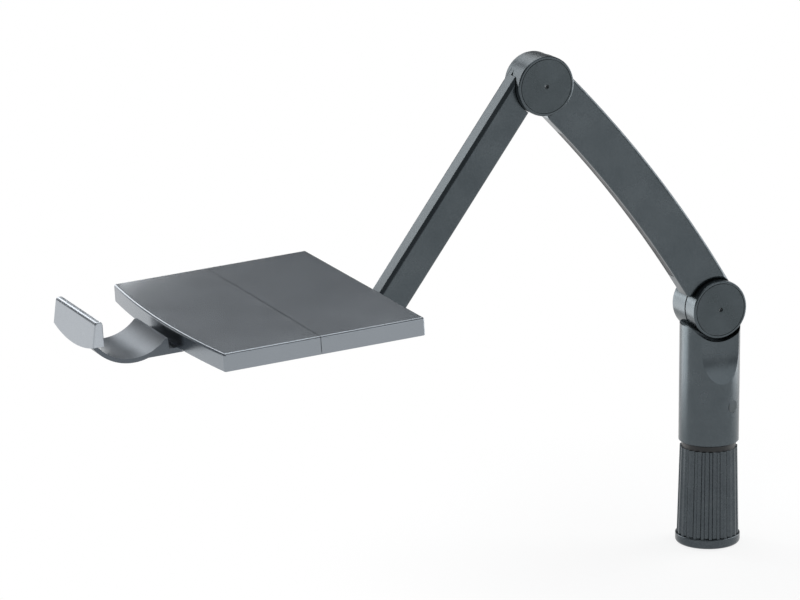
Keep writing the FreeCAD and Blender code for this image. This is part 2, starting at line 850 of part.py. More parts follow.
def forearm():
    """Straight arm casting with the rear half of the elbow knuckle and a round wrist end."""
    body = new_body("forearm")
    low = -d.forearm_below
    end_radius = d.forearm_height / 2
    sketched(body, "Pad", "XZ_Plane", [
        (0, low),
        (0, forearm_top),
        (-d.forearm_span, forearm_top, end_radius, -d.forearm_span, wrist_lift, 1),
        (-d.forearm_span, low),
    ], -arm_back, d.arm_thickness)
    dress(body, "Fillet", d.arm_round,
          lambda edge: near(edge.BoundBox.YLength, 0) and not near(edge.BoundBox.XMin, 0))
    round_tool(body, "Subtractive", arm_relief, d.arm_front + far_face, (0, -d.arm_front, 0), ACROSS)
    round_tool(body, "Additive", forearm_top, d.elbow_back - far_face, (0, far_face, 0), ACROSS)
    dress(body, "Fillet", d.hub_edge,
          lambda edge: arc_of(edge, forearm_top) and near(edge.BoundBox.YMin, d.elbow_back))
    far_knuckle_bores(body, (size(0), size(0)), d.elbow_back)
    round_tool(body, "Subtractive", pin_bush_radius + d.seat_gap, d.arm_thickness,
               (-d.forearm_span, -d.arm_front, wrist_lift), ACROSS)
    stop = d.forearm_span - d.channel_inset
    half = d.channel_width / 2
    block_tool(body, "Subtractive", (-stop, arm_middle - half, low),
               (-d.channel_inset, arm_middle + half, low + d.channel_depth))
    place_on_forearm(body)

    cover = new_body("forearm_cable_cover")
    gap = d.face_gap
    block_tool(cover, "Additive", (-stop + gap, arm_middle - half + gap, low + gap),
               (-d.channel_inset - gap, arm_middle + half - gap, low + gap + d.channel_cover))
    place_on_forearm(cover)

    bush = turned("wrist_bush", ring_profile(pin_bore, pin_bush_radius, -d.arm_front, arm_back))
    bind_place(bush, across_at(wrist, 0), ACROSS)


# wrist

cheek_inner = d.arm_thickness / 2 + d.disc_thickness + d.face_gap
cheek_outer = cheek_inner + d.cheek_thickness
fork_middle = arm_middle - d.tray_shift
plate_top = -d.tray_wall - d.boss_height
plate_bottom = plate_top - d.bracket_plate


def wrist_bracket():
    """Steel fork that holds the forearm's round end and carries the tray."""
    body = new_body("wrist_bracket")
    half = cheek_outer + d.bracket_flange
    block_tool(body, "Additive", (d.bracket_front, fork_middle - half, plate_bottom),
               (d.bracket_rear, fork_middle + half, plate_top))
    run = d.cheek_radius * sine(d.cheek_angle)
    rise = d.cheek_radius * cosine(d.cheek_angle)
    axis_z = -d.wrist_below_top
    cheek = [
        (d.bracket_front + d.bracket_nose, plate_bottom),
        (d.bracket_front + d.bracket_nose, plate_bottom - d.bracket_nose),
        (d.wrist_behind_centre - run, axis_z - rise, d.cheek_radius, d.wrist_behind_centre, axis_z, 1),
        (d.wrist_behind_centre - run, axis_z + rise),
        (d.bracket_rear, plate_bottom - d.bracket_heel),
        (d.bracket_rear, plate_bottom),
    ]
    for outside in (fork_middle + cheek_outer, fork_middle - cheek_inner):
        sketched(body, "Pad", "XZ_Plane", cheek, -outside, d.cheek_thickness)
    round_tool(body, "Subtractive", d.pin_radius + d.seat_gap, cheek_outer * 2,
               (d.wrist_behind_centre, fork_middle - cheek_outer, axis_z), ACROSS)
    for x, y in bracket_screw_places():
        round_tool(body, "Subtractive", d.screw_radius + d.seat_gap, d.bracket_plate, (x, y, plate_bottom))
    place_on_tray(body)


def bracket_screw_places():
    """Four screws, two on each flange of the wrist bracket."""
    middle = (d.bracket_front + d.bracket_rear) / 2
    offset = cheek_outer + d.bracket_flange / 2
    return [(middle + along * d.bracket_screw_span / 2, fork_middle + side * offset)
            for along in (-1, 1) for side in (-1, 1)]


def wrist_pieces():
    """Pin, nut and the two friction discs of the tilt hinge."""
    front = arm_middle - cheek_outer
    back = arm_middle + cheek_outer
    length = back - front + d.hex_nut_height + d.seat_gap * 2
    shank = rod(d.pin_radius, length, across_at(wrist, front), ACROSS)
    head = hexagon(d.hex_radius, d.hex_head_height, across_at(wrist, front - d.hex_head_height), ACROSS)
    keep(joined([shank, head]), "wrist_pin")
    nut = hexagon(d.hex_radius, d.hex_nut_height, across_at(wrist, back + d.seat_gap), ACROSS)
    tap = rod(d.pin_radius + d.seat_gap, d.hex_nut_height, across_at(wrist, back + d.seat_gap), ACROSS)
    keep(cut(nut, tap), "wrist_nut")
    discs = []
    for start in (arm_middle - cheek_inner, arm_middle + cheek_inner - d.disc_thickness):
        disc = rod(d.disc_radius, d.disc_thickness, across_at(wrist, start), ACROSS)
        hole = rod(d.pin_radius + d.seat_gap, d.disc_thickness, across_at(wrist, start), ACROSS)
        discs.append(cut(disc, hole))
    keep(joined(discs), "wrist_friction_discs")


# tray

tray_rear_edge = d.tray_length / 2
tray_front_edge = -d.tray_length / 2
parting = tray_front_edge + d.front_half_length
rear_start = parting + d.parting_gap / 2
front_stop = parting - d.parting_gap / 2
half_width = d.tray_width / 2
bow_radius = (half_width * half_width + d.tray_bow * d.tray_bow) / (d.tray_bow * 2)
bow_centre = tray_front_edge - d.tray_bow + bow_radius
rod_height = -(d.tray_wall + d.tray_depth) / 2


def upright_corner(edge, x):
    return near(edge.BoundBox.ZLength, d.tray_depth) and near(edge.BoundBox.XMin, x)


def round_rims(body, parting_face):
    """Round a pan's upper and lower rims, apart from those along the parting line."""
    for amount, height in ((d.tray_edge, size(0)), (d.tray_lower_edge, -d.tray_depth)):
        dress(body, "Fillet", amount,
              lambda edge: near(edge.BoundBox.ZMin, height) and near(edge.BoundBox.ZMax, height)
              and not (near(edge.BoundBox.XMin, parting_face) and near(edge.BoundBox.XMax, parting_face)))


def guide_blocks(body, start, stop, gap):
    """Two blocks under a pan, bored for the guide rods."""
    half = d.guide_width / 2
    for side in (-1, 1):
        y = side * d.rod_spread
        block_tool(body, "Additive", (start, y - half, -d.tray_depth), (stop, y + half, -d.tray_wall / 2))
        round_tool(body, "Subtractive", d.rod_radius + gap, d.tray_length,
                   (start - d.tray_wall * 2, y, rod_height), LENGTHWISE)


def tray_rear():
    """Rear pan of the tray, with the blocks that guide the rods."""
    body = new_body("tray_rear")
    sketched(body, "Pad", "XY_Plane", [
        (rear_start, -half_width),
        (tray_rear_edge, -half_width),
        (tray_rear_edge, half_width),
        (rear_start, half_width),
    ], 0, d.tray_depth, back=True)
    dress(body, "Fillet", d.tray_corner, lambda edge: upright_corner(edge, tray_rear_edge))
    round_rims(body, rear_start)
    block_tool(body, "Subtractive", (rear_start + d.tray_wall, -half_width + d.tray_wall, -d.tray_depth),
               (tray_rear_edge - d.tray_wall, half_width - d.tray_wall, -d.tray_wall))
    guide_blocks(body, rear_start + d.tray_wall / 2, rear_start + d.guide_length, d.running_gap)
    for x, y in bracket_screw_places():
        boss(body, x, y, plate_top)
    place_on_tray(body)


def boss(body, x, y, low):
    """A screw boss under the tray's top."""
    round_tool(body, "Additive", d.boss_radius, -d.tray_wall / 2 - low, (x, y, low))
    round_tool(body, "Subtractive", d.screw_radius + d.seat_gap, -d.boss_skin - low, (x, y, low))


def bowed_outline(inset, stop):
    """The front pan's outline, inset from its edges by a wall."""
    y = half_width - inset
    radius = bow_radius - inset
    x = bow_centre - root(radius * radius - y * y)
    return [
        (stop, y),
        (x, y, radius, bow_centre, 0, 1),
        (x, -y),
        (stop, -y),
    ]


def tray_front():
    """Front pan of the tray, bowed along its front edge."""
    body = new_body("tray_front")
    sketched(body, "Pad", "XY_Plane", bowed_outline(size(0), front_stop), 0, d.tray_depth, back=True)
    dress(body, "Fillet", d.tray_corner, lambda edge: upright_corner(edge, tray_front_edge))
    round_rims(body, front_stop)
    sketched(body, "Pocket", "XY_Plane", bowed_outline(d.tray_wall, front_stop - d.tray_wall), -d.tray_depth,
             d.tray_depth - d.tray_wall, back=True)
    guide_blocks(body, front_stop - d.rod_front_length, front_stop - d.tray_wall / 2, d.seat_gap)
    for x, y in handle_screw_places():
        boss(body, x, y, -d.tray_depth)
    place_on_tray(body)


def tray_guides():
    """Guide rods fixed in the front pan, and the clips that stop them pulling out."""
    start = front_stop - d.rod_front_length
    stop = rear_start + d.rod_rear_length
    clip_start = stop - d.clip_inset
    rods = []
    clips = []
    for side in (-1, 1):
        y = side * d.rod_spread
        rods.append(rod(d.rod_radius, stop - start, (start, y, rod_height), LENGTHWISE))
        clip = rod(d.clip_radius, d.clip_thickness, (clip_start, y, rod_height), LENGTHWISE)
        hole = rod(d.rod_radius + d.seat_gap, d.clip_thickness, (clip_start, y, rod_height), LENGTHWISE)
        clips.append(cut(clip, hole))
    for shapes, label in ((rods, "guide_rods"), (clips, "rod_clips")):
        place_on_tray(keep(joined(shapes), label))


# handle

bracket_top = -d.tray_depth
seam = -d.handle_seam
tongue_middle = (-d.handle_bottom - d.tray_depth) / 2


def handle_screw_places():
    """Four screws that hold the handle's bracket under the front pan."""
    first = seam + d.handle_bracket_length - d.boss_radius
    return [(first - step * d.handle_screw_span / 2, side * d.handle_screw_spread)
            for step in (0, 1) for side in (-1, 1)]


def strap_screw_places():
    return [(seam + d.tongue_length / 2, side * d.strap_screw_spread) for side in (-1, 1)]


def handle_bracket():
    """Cast foot under the front pan, slotted for the strap's tongue."""
    body = new_body("handle_bracket")
    half = d.handle_width / 2
    block_tool(body, "Additive", (seam, -half, -d.handle_bottom),
               (seam + d.handle_bracket_length, half, bracket_top))
    slot = d.tongue_width / 2 + d.seat_gap
    height = d.tongue_thickness / 2 + d.seat_gap
    block_tool(body, "Subtractive", (seam, -slot, tongue_middle - height),
               (seam + d.tongue_length + d.seat_gap, slot, tongue_middle + height))
    for x, y in handle_screw_places():
        round_tool(body, "Subtractive", d.screw_radius + d.seat_gap, d.handle_bottom,
                   (x, y, -d.handle_bottom))
        round_tool(body, "Subtractive", d.screw_head_radius + d.seat_gap, d.screw_head_height,
                   (x, y, -d.handle_bottom))
    for x, y in strap_screw_places():
        round_tool(body, "Subtractive", d.screw_radius + d.seat_gap, tongue_middle + d.handle_bottom,
                   (x, y, -d.handle_bottom))
    place_on_tray(body)


trough = (-d.trough_centre_forward, d.trough_centre_above)
strap_outer = d.trough_radius + d.strap_thickness


def trough_end(radius):
    """The end of one of the trough's arcs, under the grip cap."""
    return (trough[0] - radius * cosine(d.strap_end_angle), trough[1] - radius * sine(d.strap_end_angle))


def handle_strap():
    """J-shaped strap: a thick root at the seam, a trough for the fingers and a tang in the cap."""
    body = new_body("handle_strap")
    drop = d.handle_root_top + trough[1]
    root_x = trough[0] + root(d.trough_radius * d.trough_radius - drop * drop)
    floor = d.handle_bottom + trough[1]
    floor_x = trough[0] + root(strap_outer * strap_outer - floor * floor)
    inner_end = trough_end(d.trough_radius)
    outer_end = trough_end(strap_outer)
    sketched(body, "Pad", "XZ_Plane", [
        (seam, -d.handle_root_top),
        (root_x, -d.handle_root_top, d.trough_radius, trough[0], trough[1], -1),
        inner_end,
        (inner_end[0], d.tang_top),
        (outer_end[0], d.tang_top),
        outer_end + (strap_outer, trough[0], trough[1], 1),
        (floor_x, -d.handle_bottom),
        (seam, -d.handle_bottom),
    ], 0, d.handle_width, middle=True)
    half = d.tongue_width / 2
    thick = d.tongue_thickness / 2
    block_tool(body, "Additive", (seam - d.tongue_thickness, -half, tongue_middle - thick),
               (seam + d.tongue_length, half, tongue_middle + thick))
    for x, y in strap_screw_places():
        round_tool(body, "Subtractive", d.screw_radius + d.seat_gap, d.tongue_thickness * 2,
                   (x, y, tongue_middle - d.tongue_thickness))
    place_on_tray(body)


def grip_cap():
    """Grip cap over the strap's end: a leaning plate with an arched lower edge."""
    body = new_body("grip_cap")
    lean = (d.grip_front_foot - d.grip_front_top) / d.grip_top
    foot = -d.grip_arch - d.grip_end_round
    sketched(body, "Pad", "XZ_Plane", [
        (-d.grip_front_foot + lean * foot, foot),
        (-d.grip_back, foot),
        (-d.grip_back, d.grip_top),
        (-d.grip_front_top, d.grip_top),
    ], 0, d.grip_width, middle=True)
    half = d.grip_width / 2
    arch_radius = (half * half + d.grip_arch * d.grip_arch) / (d.grip_arch * 2)
    arch_centre = arch_radius - d.grip_arch
    edge = half + d.cut_overrun
    edge_z = arch_centre - root(arch_radius * arch_radius - edge * edge)
    below = foot - d.cut_overrun
    sketched(body, "Pocket", "YZ_Plane", [
        (-edge, edge_z, arch_radius, 0, arch_centre, 1),
        (edge, edge_z),
        (edge, below),
        (-edge, below),
    ], 0, (d.grip_front_foot + d.cut_overrun) * 2, middle=True)
    dress(body, "Fillet", d.grip_round,
          lambda item: near(item.BoundBox.ZMin, d.grip_top) and near(item.BoundBox.YLength, d.grip_width))
    dress(body, "Fillet", d.grip_end_round,
          lambda item: item.BoundBox.ZLength > d.grip_top.value / 2 and near(item.BoundBox.YLength, 0))
    inner_end = trough_end(d.trough_radius)
    outer_end = trough_end(strap_outer)
    gap = d.seat_gap
    relax = d.grip_slot_inset
    sketched(body, "Pocket", "XZ_Plane", [
        (outer_end[0] - relax, d.tang_top + gap),
        (inner_end[0] + gap, d.tang_top + gap),
        (inner_end[0] + gap, inner_end[1] + relax),
        (-d.grip_back + d.grip_arch, inner_end[1] - d.grip_arch),
        (-d.grip_back + d.grip_arch, below),
        (outer_end[0] - relax, below),
    ], 0, d.handle_width + gap * 2, middle=True)
    place_on_tray(body)


# screws

def screw_group(label, places, head_low, tip):
    """Identical pan-head screws that stand upright under the tray, in one group."""
    shapes = []
    for x, y in places:
        head = rod(d.screw_head_radius, d.screw_head_height, (x, y, head_low))
        shank = rod(d.screw_radius, tip - head_low, (x, y, head_low))
        shapes.append(joined([head, shank]))
    place_on_tray(keep(joined(shapes), label))


def screws():
    tip = -d.boss_skin - d.face_gap
    screw_group("bracket_screws", bracket_screw_places(), plate_bottom - d.screw_head_height, tip)
    screw_group("handle_screws", handle_screw_places(), -d.handle_bottom, tip)
    screw_group("strap_screws", strap_screw_places(), -d.handle_bottom - d.screw_head_height,
                tongue_middle + d.tongue_thickness / 2)


def build():
    base_sleeve()
    pivot_post()
    swivel_ring()
    keeper()
    column()
    column_bushes()
    brake()
    knuckle("shoulder", shoulder, d.shoulder_back)
    lower_arm()
    knuckle("elbow", elbow, d.elbow_back)
    forearm()
    wrist_bracket()
    wrist_pieces()
    tray_rear()
    tray_front()
    tray_guides()
    handle_bracket()
    handle_strap()
    grip_cap()
    screws()
    doc.recompute()


def check():
    """Stop if any object failed or any sub-part is empty or invalid."""
    for item in doc.Objects:
        if "Invalid" in item.State or "Error" in item.State:
            raise RuntimeError(f"{item.Label} failed: {item.State}")
    for piece in pieces:
        if piece.Shape.isNull() or not piece.Shape.isValid() or not piece.Shape.Solids:
            raise RuntimeError(f"{piece.Label} has no valid solid")


def write():
    os.makedirs("parts", exist_ok=True)
    for piece in pieces:
        piece.Shape.exportStep(f"parts/{piece.Label}.step")


build()
check()
write()
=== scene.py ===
"""Phone holder arm, dressed for the camera.

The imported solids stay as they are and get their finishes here. Five nodes of small fasteners are modelled
again with drives and chamfers, and the table thread is added. The scene is in metres; sizes of fasteners
and grains are in millimetres.
"""
import bmesh
import bpy
import json
import math
from mathutils import Matrix, Vector


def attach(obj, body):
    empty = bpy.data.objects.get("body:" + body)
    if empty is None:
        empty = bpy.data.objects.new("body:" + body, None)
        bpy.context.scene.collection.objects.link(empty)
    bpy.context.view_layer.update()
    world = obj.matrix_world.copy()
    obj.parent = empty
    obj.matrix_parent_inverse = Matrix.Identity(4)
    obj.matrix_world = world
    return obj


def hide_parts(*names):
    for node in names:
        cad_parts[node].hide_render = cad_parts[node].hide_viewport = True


MM = 0.001

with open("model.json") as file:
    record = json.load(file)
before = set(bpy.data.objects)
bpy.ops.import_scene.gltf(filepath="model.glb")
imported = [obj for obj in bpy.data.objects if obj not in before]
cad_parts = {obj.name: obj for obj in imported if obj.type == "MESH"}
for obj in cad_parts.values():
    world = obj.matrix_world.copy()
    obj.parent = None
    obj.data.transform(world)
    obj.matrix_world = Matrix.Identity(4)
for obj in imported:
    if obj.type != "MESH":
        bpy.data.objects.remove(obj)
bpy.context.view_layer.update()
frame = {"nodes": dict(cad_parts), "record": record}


# Small helpers for colours, nodes and materials.

def linear(code):
    """A linear colour, opaque, from an sRGB hex code."""
    channels = [int(code[start:start + 2], 16) / 255 for start in (1, 3, 5)]
    return tuple(c / 12.92 if c <= 0.04045 else ((c + 0.055) / 1.055) ** 2.4 for c in channels) + (1.0,)


def add(tree, kind, sockets=None, links=None, **settings):
    """One node with its settings, its socket values and the links that feed it."""
    node = tree.nodes.new(kind)
    for name, value in settings.items():
        setattr(node, name, value)
    for name, value in (sockets or {}).items():
        node.inputs[name].default_value = value
    for name, source in (links or {}).items():
        tree.links.new(source, node.inputs[name])
    return node


def per_metre(millimetres):
    """A pattern's scale from the size of one of its grains."""
    return 1 / (millimetres * MM)


def empty_material(name):
    """A material without nodes, and its node tree."""
    material = bpy.data.materials.new(name)
    material.use_nodes = True
    material.node_tree.nodes.clear()
    return material, material.node_tree


# Finishes. The grains are drawn coarse enough to show at the photograph's scale.

GRAIN_DETAIL = 3.0
CLOUD_DETAIL = 2.0
CLOUD_SHARE = 0.35
DARK_STOP = 0.36
LIGHT_STOP = 0.64
RELIEF_STRENGTH = 0.6


def noise(tree, place, size_mm, detail):
    """A noise pattern with grains of one size."""
    sockets = {"Scale": per_metre(size_mm), "Detail": detail}
    return add(tree, "ShaderNodeTexNoise", sockets, {"Vector": place}).outputs["Fac"]


def grained(name, dark, light, metallic, roughness, spread, grain_mm, cloud_mm, bump_mm):
    """A finish with a fine grain in its colour, cloudy gloss and a shallow relief."""
    material, tree = empty_material(name)
    place = add(tree, "ShaderNodeTexCoord").outputs["Object"]
    grain = noise(tree, place, grain_mm, GRAIN_DETAIL)
    cloud = noise(tree, place, cloud_mm, CLOUD_DETAIL)
    tone = add(tree, "ShaderNodeMix", {"Factor": CLOUD_SHARE}, {"A": grain, "B": cloud}, data_type="FLOAT")
    colour = add(tree, "ShaderNodeValToRGB", links={"Fac": tone.outputs["Result"]})
    for element, position, code in zip(colour.color_ramp.elements, (DARK_STOP, LIGHT_STOP), (dark, light)):
        element.position = position
        element.color = linear(code)
    gloss = add(tree, "ShaderNodeMapRange",
                {"From Min": DARK_STOP, "From Max": LIGHT_STOP,
                 "To Min": roughness - spread, "To Max": roughness + spread},
                {"Value": cloud})
    relief = add(tree, "ShaderNodeBump", {"Strength": RELIEF_STRENGTH, "Distance": bump_mm * MM},
                 {"Height": grain})
    shader = add(tree, "ShaderNodeBsdfPrincipled", {"Metallic": metallic},
                 {"Base Color": colour.outputs["Color"], "Roughness": gloss.outputs["Result"],
                  "Normal": relief.outputs["Normal"]})
    add(tree, "ShaderNodeOutputMaterial", links={"Surface": shader.outputs["BSDF"]})
    return material


# Die-cast aluminium of column and arms: dark grey metallic paint with fine flakes and a satin sheen.
arm_paint = grained("anthracite_metallic_paint", dark="#474e52", light="#575e62", metallic=0.92,
                    roughness=0.26, spread=0.015, grain_mm=0.9, cloud_mm=25, bump_mm=0.012)
# Lacquered ABS of the knuckle caps: a little darker and duller than the arms.
cap_abs = grained("grained_cap_abs", dark="#42494c", light="#50575b", metallic=0.9,
                  roughness=0.3, spread=0.03, grain_mm=0.8, cloud_mm=18, bump_mm=0.015)
# Lacquered ABS of the plug over the brake: darker and duller than the paint that it sits in.
plug_abs = grained("dull_plug_abs", dark="#3e4447", light="#494f52", metallic=0.88,
                   roughness=0.38, spread=0.03, grain_mm=0.8, cloud_mm=10, bump_mm=0.01)
# Lacquered polyamide of the base sleeve: dark grey with a satin sheen.
base_polyamide = grained("satin_base_polyamide", dark="#43494d", light="#52585c", metallic=0.9,
                         roughness=0.26, spread=0.03, grain_mm=1.1, cloud_mm=20, bump_mm=0.008)
# Turned acetal of the swivel ring: black and waxy.
black_acetal = grained("black_acetal", dark="#141516", light="#1e2022", metallic=0.0,
                       roughness=0.42, spread=0.04, grain_mm=0.6, cloud_mm=12, bump_mm=0.02)
# Extruded ABS of the cable covers: black and dull.
cover_abs = grained("black_cover_abs", dark="#232629", light="#2e3236", metallic=0.0,
                    roughness=0.45, spread=0.05, grain_mm=0.8, cloud_mm=16, bump_mm=0.03)
# Natural acetal of bushes, pads and friction discs: off-white.
natural_acetal = grained("natural_acetal", dark="#cdc9bd", light="#dedace", metallic=0.0,
                         roughness=0.4, spread=0.04, grain_mm=0.8, cloud_mm=10, bump_mm=0.02)
# Zinc plated steel of pins, screws, rods and the post.
zinc_steel = grained("zinc_plated_steel", dark="#b4b8bc", light="#cdd1d4", metallic=1.0,
                     roughness=0.3, spread=0.06, grain_mm=0.6, cloud_mm=6, bump_mm=0.015)
# Powder coat of the wrist bracket: black with orange peel.
powder_coat = grained("black_powder_coat", dark="#1d1f21", light="#2a2d30", metallic=0.0,
                      roughness=0.48, spread=0.05, grain_mm=1.2, cloud_mm=12, bump_mm=0.06)
# Lacquered ABS of the tray: a smooth silver-grey metallic lacquer.
tray_lacquer = grained("silver_grey_tray_lacquer", dark="#8d9399", light="#91979d", metallic=0.96,
                       roughness=0.25, spread=0.01, grain_mm=0.9, cloud_mm=30, bump_mm=0.0005)
# Lacquered bracket and strap of the handle: a darker silver-grey.
handle_lacquer = grained("silver_grey_handle_lacquer", dark="#595f65", light="#676d73", metallic=0.93,
                         roughness=0.36, spread=0.03, grain_mm=0.9, cloud_mm=20, bump_mm=0.008)
# Lacquered ABS of the grip cap: a lighter silver.
grip_lacquer = grained("silver_grip_lacquer", dark="#b0b6bd", light="#bfc5cb", metallic=0.9,
                       roughness=0.32, spread=0.03, grain_mm=0.8, cloud_mm=16, bump_mm=0.02)

FINISHES = {
    "base_plastic": base_polyamide,
    "dark_ring": black_acetal,
    "arm_paint": arm_paint,
    "cap_plastic": cap_abs,
    "cover_plastic": cover_abs,
    "bush_plastic": natural_acetal,
    "steel": zinc_steel,
    "bracket_steel": powder_coat,
    "tray_plastic": tray_lacquer,
    "handle_paint": handle_lacquer,
    "grip_plastic": grip_lacquer,
}


def dress(node, finish):
    """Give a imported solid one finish."""
    materials = frame["nodes"][node].data.materials
    materials.clear()
    materials.append(finish)


for subpart in frame["record"]["subparts"]:
    dress(subpart["node"], FINISHES[subpart["material_slot"]])
dress("brake_plug", plug_abs)


# Fasteners and the table thread, built from rings of the same number of corners.

ROUND_SIDES = 24
HEXAGON = 6
SMOOTH_ANGLE = math.radians(35)


def ring(shape, radius, height, sides=ROUND_SIDES):
    """A loop of edges round Z: a circle, or a polygon with its sides divided to match one."""
    before = set(shape.edges)
    bmesh.ops.create_circle(shape, cap_ends=False, segments=sides, radius=radius * MM,
                            matrix=Matrix.Translation((0, 0, height * MM)))
    fresh = [edge for edge in shape.edges if edge not in before]
    if sides < ROUND_SIDES:
        bmesh.ops.subdivide_edges(shape, edges=fresh, cuts=ROUND_SIDES // sides - 1)
    return [edge for edge in shape.edges if edge not in before]


def skin(shape, rings, closed=False):
    """Bridge the rings in turn, and either join the last to the first or fill both ends."""
    loops = [ring(shape, *row) for row in rings]
    following = loops[1:] + loops[:1] if closed else loops[1:]
    for one, other in zip(loops, following):
        bmesh.ops.bridge_loops(shape, edges=one + other)
    if not closed:
        bmesh.ops.edgeloop_fill(shape, edges=loops[0])
        bmesh.ops.edgeloop_fill(shape, edges=loops[-1])


def steel_piece(name, shape, body, *nodes):
    """Finish a steel piece: outward faces, soft shading between sharp edges, and the body it rides on."""
    bmesh.ops.recalc_face_normals(shape, faces=shape.faces)
    mesh = bpy.data.meshes.new(name)
    shape.to_mesh(mesh)
    shape.free()
    mesh.polygons.foreach_set("use_smooth", [True] * len(mesh.polygons))
    mesh.set_sharp_from_angle(angle=SMOOTH_ANGLE)
    mesh.materials.append(zinc_steel)
    piece = bpy.data.objects.new(name, mesh)
    bpy.context.scene.collection.objects.link(piece)
    if nodes:
        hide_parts(*nodes)
    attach(piece, body)


# Button-head screws under the tray. Places are in the tray's own frame, which is pitched.
TRAY_PITCH = math.radians(3.3)
TRAY_ORIGIN = Vector((-393.677, 2.5, 250.841)) * MM
TRAY_PLACE = Matrix.Translation(TRAY_ORIGIN) @ Matrix.Rotation(-TRAY_PITCH, 4, "Y")
HEAD_DOWN = Matrix.Rotation(math.pi, 4, "X")
SCREW_RADIUS = 2.0
SCREW_TIP_RADIUS = 1.4
SCREW_TIP_CHAMFER = 0.7
# Radius and height of each ring of the head, from the seat to the top.
SCREW_DOME = ((3.8, 0.0), (3.8, 0.9), (3.6, 1.5), (3.1, 2.0), (2.4, 2.2))
SCREW_TOP = 2.2
SOCKET_RADIUS = 1.7
SOCKET_FLOOR = 0.9
BRACKET_PLACES = [(across, along) for across in (30.0, 68.0) for along in (-26.2, 16.7)]
HANDLE_PLACES = [(across, along) for across in (-45.5, -56.5) for along in (-22.0, 22.0)]
STRAP_PLACES = [(-86.5, along) for along in (-12.0, 12.0)]


def socket_screws(name, body, node, places, seat, shank):
    """Button-head screws with a hexagon socket, heads downwards against a seat of the tray."""
    single = bmesh.new()
    tip = ((SCREW_TIP_RADIUS, -shank), (SCREW_RADIUS, SCREW_TIP_CHAMFER - shank), (SCREW_RADIUS, 0.0))
    socket = ((SOCKET_RADIUS, SCREW_TOP, HEXAGON), (SOCKET_RADIUS, SOCKET_FLOOR, HEXAGON))
    skin(single, tip + SCREW_DOME + socket)
    shape = bmesh.new()
    for across, along in places:
        screw = bpy.data.meshes.new(name)
        single.to_mesh(screw)
        spot = Matrix.Translation(Vector((across, along, seat)) * MM)
        screw.transform(TRAY_PLACE @ spot @ HEAD_DOWN)
        shape.from_mesh(screw)
        bpy.data.meshes.remove(screw)
    single.free()
    steel_piece(name, shape, body, node)


socket_screws("bracket_socket_screws", "tray", "bracket_screws", BRACKET_PLACES, seat=-9.0, shank=7.6)
socket_screws("handle_socket_screws", "pull_out", "handle_screws", HANDLE_PLACES, seat=-16.5, shank=15.1)
socket_screws("strap_socket_screws", "pull_out", "strap_screws", STRAP_PLACES, seat=-18.7, shank=3.1)


# Hexagon bolt through the wrist and its nut, both built along Z and turned to point forwards.
WRIST = Vector((-302.451, 0.0, 224.349)) * MM
FORWARDS = Matrix(((0, 1, 0), (0, 0, -1), (-1, 0, 0))).to_4x4()
HEXAGON_RADIUS = 7.5
CHAMFER_RADIUS = 6.4
BOLT_RADIUS = 4.0
BOLT_TIP_RADIUS = 3.4
BOLT_TIP = -32.5
BOLT_TIP_CHAMFER_END = -31.8
BOLT_HEAD_FLAT = 4.2
BOLT_HEAD_TOP = 5.0
BOLT_FACE_RADIUS = 5.8
BOLT_SEAT = -16.7
NUT_BORE = 4.05
NUT_CHAMFER = 0.6
NUT_HEIGHT = 3.6
NUT_SEAT = 15.82


def wrist_piece(name, node, rings, seat, closed=False):
    """A piece of the wrist's bolting, from its rings and its place along the pin."""
    shape = bmesh.new()
    skin(shape, rings, closed)
    place = Matrix.Translation(WRIST + Vector((0, seat, 0)) * MM)
    bmesh.ops.transform(shape, matrix=place @ FORWARDS, verts=shape.verts)
    steel_piece(name, shape, "tray", node)


wrist_piece("wrist_hexagon_bolt", "wrist_pin", (
    (BOLT_TIP_RADIUS, BOLT_TIP),
    (BOLT_RADIUS, BOLT_TIP_CHAMFER_END),
    (BOLT_RADIUS, 0.0),
    (HEXAGON_RADIUS, 0.0, HEXAGON),
    (HEXAGON_RADIUS, BOLT_HEAD_FLAT, HEXAGON),
    (CHAMFER_RADIUS, BOLT_HEAD_TOP),
    (BOLT_FACE_RADIUS, BOLT_HEAD_TOP),
), BOLT_SEAT)
wrist_piece("wrist_hexagon_nut", "wrist_nut", (
    (NUT_BORE, 0.0),
    (CHAMFER_RADIUS, 0.0),
    (HEXAGON_RADIUS, NUT_CHAMFER, HEXAGON),
    (HEXAGON_RADIUS, NUT_HEIGHT - NUT_CHAMFER, HEXAGON),
    (CHAMFER_RADIUS, NUT_HEIGHT),
    (NUT_BORE, NUT_HEIGHT),
), NUT_SEAT, closed=True)


# The M10 thread inside the post, for the fixing under the table.
THREAD_PITCH = 1.5
THREAD_TURNS = 14
THREAD_START = 1.5
THREAD_ROOT = 5.02
THREAD_CREST = 4.25
ROOT_HALF = 0.62
CREST_HALF = 0.12


def table_thread():
    """One ridge, swept up the bore as a helix and closed at both ends."""
    shape = bmesh.new()
    outline = ((THREAD_ROOT, -ROOT_HALF), (THREAD_CREST, -CREST_HALF),
               (THREAD_CREST, CREST_HALF), (THREAD_ROOT, ROOT_HALF))
    corners = [shape.verts.new(Vector((radius, 0, THREAD_START + rise)) * MM) for radius, rise in outline]
    edges = [shape.edges.new((one, other)) for one, other in zip(corners, corners[1:] + corners[:1])]
    swept = bmesh.ops.spin(shape, geom=corners + edges, cent=(0, 0, 0), axis=(0, 0, 1),
                           dvec=(0, 0, THREAD_PITCH * MM / ROUND_SIDES), angle=math.tau * THREAD_TURNS,
                           steps=ROUND_SIDES * THREAD_TURNS, use_merge=False)
    last = [edge for edge in swept["geom_last"] if isinstance(edge, bmesh.types.BMEdge)]
    bmesh.ops.edgeloop_fill(shape, edges=edges)
    bmesh.ops.edgeloop_fill(shape, edges=last)
    steel_piece("table_thread", shape, "base")


table_thread()


# Stage: a pale floor, soft boxes and the camera.

